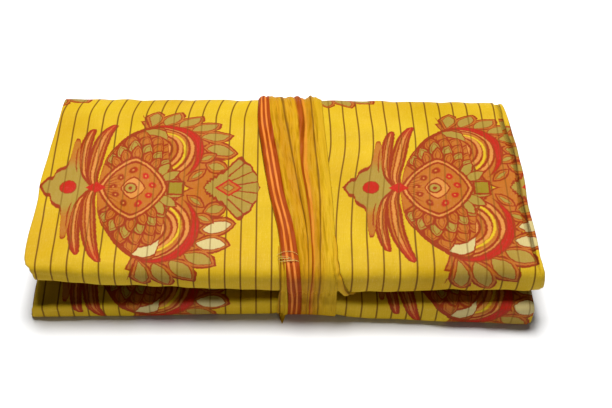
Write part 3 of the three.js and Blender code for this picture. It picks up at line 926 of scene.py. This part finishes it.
def makeBand():
    rows = pathRows(90)
    place, behind = rows[0], rows[3]
    lines = {name: softened(np.interp(behind, bandLines["behind"], bandLines[name]))[:, None]
             for name in bandWoven}
    across = np.linspace(0, 1, band["columns"])[None, :]
    left, right = lines["left"], lines["right"]
    x = left + (right - left) * across
    far = behind[:, None] + 0 * x
    flat = flatUnder(place, 3.72, 5.2)[:, None] * (place > 2)[:, None]
    rise = 0 * x
    for line, shift, high, wide, beat, phase in bandFolds:
        centre = lines[line] + shift + 0.7 * np.sin(far * beat * 2.3 + phase)
        strength = 0.72 + 0.38 * np.sin(6.28 * far * beat + phase)
        rise = rise + band["relief"] * high * strength * np.exp(-(((x - centre) / wide) ** 2))
    # fine wrinkles, and the flap over the rest
    aside = x - lines["flap"]
    rise = rise + 1.9 * crumple(aside / 2.6, far / 17, 31)
    rise = rise + 1.4 * crumple(aside / 1.2, far / 8 + aside / 5, 32)
    rise = rise + 0.85 * (1 - smooth(aside, -0.35, 0.35)) * smooth(far, -6, 40)
    rise = rise * smooth(x, left, left + 2.2) * (1 - 0.85 * smooth(x, right - 4.5, right))
    # slack pulls where it turns over the front crease
    rise = rise + 0.5 * np.exp(-(((far - 3) / 9) ** 2)) * np.sin((x - left) * 0.42 + 0.6)
    rise = np.maximum(rise, -0.35) * (1 - flat)
    stand = band["stand"] + band["thick"] + rise
    stand = stand - (stand - pack["skin"]) * flat
    edgeDrop = 1 - 0.35 * smooth(-(x - left), -0.6, 0) - 0.45 * smooth(x, right - 1.2, right)
    stand = np.where(flat > 0, np.minimum(stand, pack["skin"]), stand * edgeDrop)
    y, z = pathPoint(x, rows, stand)
    woven = np.stack([np.interp(x[r], [line[r, 0] for line in lines.values()], list(bandWoven.values()))
                      for r in range(len(place))])
    return gridMesh("palluBand", x, y, np.maximum(z, 0), (woven, far), closeRows=True)


def makePalluCloth():
    # golden cloth with a triple border stripe along one edge and part of the same border further in
    finish = Finish("palluCloth")
    u, v = clothPlace(finish)
    streak = finish.grain(u * 0.55, v * 0.02, 4.0, 0.65)
    broad = finish.grain(u * 0.16 + 4.0, v * 0.011)
    inner = (u - 12).ramp(0, 3) * (26 - u).ramp(0, 6)
    # thin streaks along the band where painted shade stands for the shade in its small wrinkles
    wrinkleShadeGrain = finish.grain(u * 0.8 + v * 0.02, v * 0.035, 3.0, 0.7, z=7.0)
    washes = [
        (streak.ramp(0.5, 0.8) * 0.6, "goldenPale"),
        (inner * streak.ramp(0.3, 0.7) * 0.4, "amber"),
        # painted shade in the band's small wrinkles
        (wrinkleShadeGrain.ramp(0.53, 0.66) * 0.65, "paintedWrinkleShade"),
        ((u - 30).ramp(0, 6) * 0.55, "yellow"),
        ((abs(u - 18.5) - 0.5).inside(0.3) * 0.8, "stripe"),
        ((abs(u - 31) - 0.5).inside(0.3) * 0.8, "stripe"),
        ((abs(u - 24.2) - 1.15).inside(0.4) * 0.9, "border"),
        ((abs(u - 26.2) - 0.6).inside(0.5) * 0.6, "borderLight"),
        ((u - 11.6).inside(0.25), "border"),
        ((abs(u - 3.6) - 0.72).inside(0.3), "borderLight"),
        ((abs(u - 7.4) - 0.72).inside(0.3), "borderLight"),
        ((0.6 - u).ramp(0, 0.4) * 0.7, "golden"),
    ]
    colour = finish.mix(broad.ramp(0.34, 0.66), inks["golden"], inks["goldenDeep"])
    for mask, ink in washes:
        colour = finish.mix(mask, colour, inks[ink])
    wrinkles = finish.grain(u * 0.5, v * 0.12, 3.0, 0.6, z=3.0)
    weave(finish, u, v, colour, extra=streak * 2.2 + wrinkles * 6.0)
    return finish.material


print("band")
palluCloth = makePalluCloth()
wound = makeBand()
clothShell(wound, band["thick"])
finishPiece(wound, palluCloth,
            ["pallu_over_top", "pallu_down_back", "pallu_underneath", "pallu_up_front"])

# its rolled selvedge, which turns down into the mouth

roll = {
    # x of its middle and its radius, by place round the upper fold
    "place": [0.94, 1.0, 1.14, 1.33, 1.55, 1.75, 1.92, 2.06, 2.12],
    "x": [62, 60, 54.5, 47, 41.8, 39.0, 38.0, 37.8, 37.6],
    "wide": [1.8, 2.0, 2.6, 2.8, 2.5, 2.0, 1.8, 1.4, 0.5],
    "high": [1.0, 1.1, 1.3, 1.4, 1.3, 1.2, 1.1, 0.7, 0.3],
    "rows": 60,
    "round": 26,
    "thick": 0.35,
}


def makeRoll():
    along = np.linspace(roll["place"][0], roll["place"][-1], roll["rows"])[None, :]
    turn = np.linspace(0, 2 * math.pi, roll["round"], endpoint=False)[:, None]
    middle, wide, high = (np.interp(along, roll["place"], roll[name]) for name in ("x", "wide", "high"))
    ripple = 1 + 0.12 * np.sin(along * 31 + turn * 2) + 0.06 * np.sin(along * 57 + turn)
    x = middle + wide * ripple * np.cos(turn)
    lift = 0.5 + high * ripple * (1 + np.sin(turn))
    y, z = packPoint(x, along + 0 * x, -lift)
    u = 30 + turn * 2.2 + 0 * x
    return gridMesh("tuckedEdge", x, y, z, (u, -40 * (2 - along) + 0 * x), closeRows=True)


print("tucked edge")
tucked = makeRoll()
clothShell(tucked, roll["thick"])
finishPiece(tucked, palluCloth, ["pallu_tucked_edge"])

# its loose corner, which hangs down beside it to a tip on the surface

corner = {
    # the strip's two edges, by how far along it is from its top
    "along": [0, 6, 16, 30, 44, 54, 62, 66],
    "left": [-4.2, -4.4, -3.6, -2.6, -4.0, -4.4, -2.6, -0.6],
    "right": [-1.2, 0.2, 1.4, 2.6, 3.6, 3.6, 1.6, -0.2],
    "tip": [(0.9, 3.2), (2.2, 1.5), (4.4, 0.7), (6.8, 0.5), (9.2, 0.45)],   # ahead of the pack, and up
    "rows": 90,
    "columns": 12,
    "thick": 0.3,
}


def cornerRoute():
    # y, z and the way it faces, down the front and out over the surface
    rows = pathRows(60)
    keep = (rows[0] > 5.12) | (rows[0] < 2.06)
    rows = [values[keep] for values in rows]
    order = np.argsort(-rows[3])
    x = np.zeros((len(order), 1))
    y, z = (values[order, 0] for values in pathPoint(x, rows, x + 1.0))
    ahead, up = np.array(corner["tip"]).T
    y, z = np.concatenate([y, y[-1] - ahead]), np.concatenate([z, up])
    run = runAlong(y, z)
    at = np.linspace(0, run[-1], corner["rows"])
    return np.interp(at, run, y), np.interp(at, run, z), at * corner["along"][-1] / run[-1], at


def makeCorner():
    y, z, along, run = cornerRoute()
    left, right = (np.interp(along, corner["along"], corner[name])[:, None] for name in ("left", "right"))
    across = np.linspace(0, 1, corner["columns"])[None, :]
    x = left + (right - left) * across
    dy, dz = np.gradient(y), np.gradient(z)
    size = np.hypot(dy, dz)
    outY, outZ = (dz / size)[:, None], (-dy / size)[:, None]    # away from the pack, then upwards
    along = along[:, None]
    fold = 0.9 * np.sin(across * math.pi * 2.1 + along * 0.05) + 0.35 * np.sin(along * 0.3 + across * 4)
    fold = fold * smooth(along, 2, 12) * (1 - smooth(along, 56, 66)) + 0.3
    lift = np.maximum(fold, -0.1)
    y, z = y[:, None] + outY * lift, z[:, None] + outZ * lift
    return gridMesh("looseCorner", x, y, z, (x * 0.8 + 33, run[:, None] + 0 * x))


print("loose corner")
loose = makeCorner()
clothShell(loose, corner["thick"])
finishPiece(loose, palluCloth, ["pallu_loose_corner"])

# loose threads at the band's left edge, where it turns over the front crease

threads = {
    "count": 6,
    "points": 14,
    "thick": 0.15,
    "seed": 5,
    "start": (-6, -1),   # x of their two ends
    "end": (6, 12),
    "place": 1.98,
}


def makeThreads():
    noise = np.random.default_rng(threads["seed"])
    curve = bpy.data.curves.new("looseThreads", "CURVE")
    curve.dimensions = "3D"
    curve.bevel_depth = threads["thick"] * mm
    curve.bevel_resolution = 1
    for _ in range(threads["count"]):
        steps = np.linspace(0, 1, threads["points"])
        start, end = noise.uniform(*threads["start"]), noise.uniform(*threads["end"])
        x = start + (end - start) * steps + 0.8 * np.sin(steps * noise.uniform(5, 11) + noise.uniform(0, 6))
        place = threads["place"] + noise.uniform(-0.05, 0.03)
        place = place + 0.006 * np.sin(steps * noise.uniform(4, 9) + noise.uniform(0, 6))
        lift = 3.0 * np.sin(np.pi * np.clip(steps * 0.8 + 0.14, 0, 1)) + 0.4
        lift = lift + 0.3 * noise.uniform(0, 1, len(steps))
        y, z = packPoint(x, place, -lift)
        line = curve.splines.new("POLY")
        line.points.add(len(steps) - 1)
        for point, xyz in zip(line.points, zip(x, y, z)):
            point.co = (*(value * mm for value in xyz), 1)
    piece = addPiece("looseThreads", curve)
    bpy.context.view_layer.objects.active = piece
    piece.select_set(True)
    bpy.ops.object.convert(target="MESH")
    piece.select_set(False)
    piece.data.shade_smooth()
    return piece


def makeThreadCloth():
    finish = Finish("paleThread")
    spot = finish.wire("TexCoord", output=3)
    tone = finish.noise(spot, 900.0, 2.0)
    pale = finish.mix(tone.ramp(0.35, 0.65), inks["yellow"], inks["cream"])
    finish.feed(finish.cloth, {"Base Color": pale, "Roughness": 0.7})
    return finish.material


print("loose threads")
finishPiece(makeThreads(), makeThreadCloth(), [])

# the stage, the light and the camera

shoot = {
    "place": (-0.0131, -0.5448, 0.7053),
    "pitch": 51.3,
    "yaw": -3.3,
    "roll": 3.2,
    "sensor": 36.0,
    "lens": 64.1176471,
    "floor": 0.62,       # how light it is
    "sky": 0.08,
    "lamps": [
        # name, place, width, height, power
        ("key", (-0.04, 0.31, 1.38), 0.6, 0.6, 47),
        ("low", (0.1, -1.5, 0.045), 0.6, 0.07, 9),
    ],
}


def setStage():
    bpy.ops.mesh.primitive_plane_add(size=6, location=(0, 0, 0))
    floor = bpy.context.object
    floor.name = "floor"
    finish = Finish("paleFloor")
    finish.feed(finish.cloth, {"Base Color": (*[shoot["floor"]] * 3, 1), "Roughness": 0.7})
    floor.data.materials.append(finish.material)


def setLight():
    world = bpy.data.worlds.new("studio")
    bpy.context.scene.world = world
    world.use_nodes = True
    sky = world.node_tree.nodes["Background"].inputs
    sky[0].default_value = (1, 1, 1, 1)
    sky[1].default_value = shoot["sky"]
    for name, place, wide, high, power in shoot["lamps"]:
        bpy.ops.object.light_add(type="AREA", location=place)
        lamp = bpy.context.object
        lamp.name = name
        lamp.data.shape = "RECTANGLE"
        lamp.data.size, lamp.data.size_y = wide, high
        lamp.data.energy = power
        lamp.rotation_euler = (-lamp.location).to_track_quat("-Z", "Y").to_euler()


def setCamera():
    pitch, yaw, roll = (math.radians(shoot[key]) for key in ("pitch", "yaw", "roll"))
    camera = addPiece("camera", bpy.data.cameras.new("camera"))
    turn = Matrix.Rotation(yaw, 4, "Z") @ Matrix.Rotation(math.pi / 2 - pitch, 4, "X")
    turn = turn @ Matrix.Rotation(roll, 4, "Z")
    camera.matrix_world = Matrix.Translation(shoot["place"]) @ turn
    camera.data.sensor_width = shoot["sensor"]
    camera.data.lens = shoot["lens"]
    camera.data.clip_start = 0.01
    bpy.context.scene.camera = camera


print("stage, light and camera")
setStage()
setLight()
setCamera()
bpy.context.scene.view_settings.view_transform = "Standard"
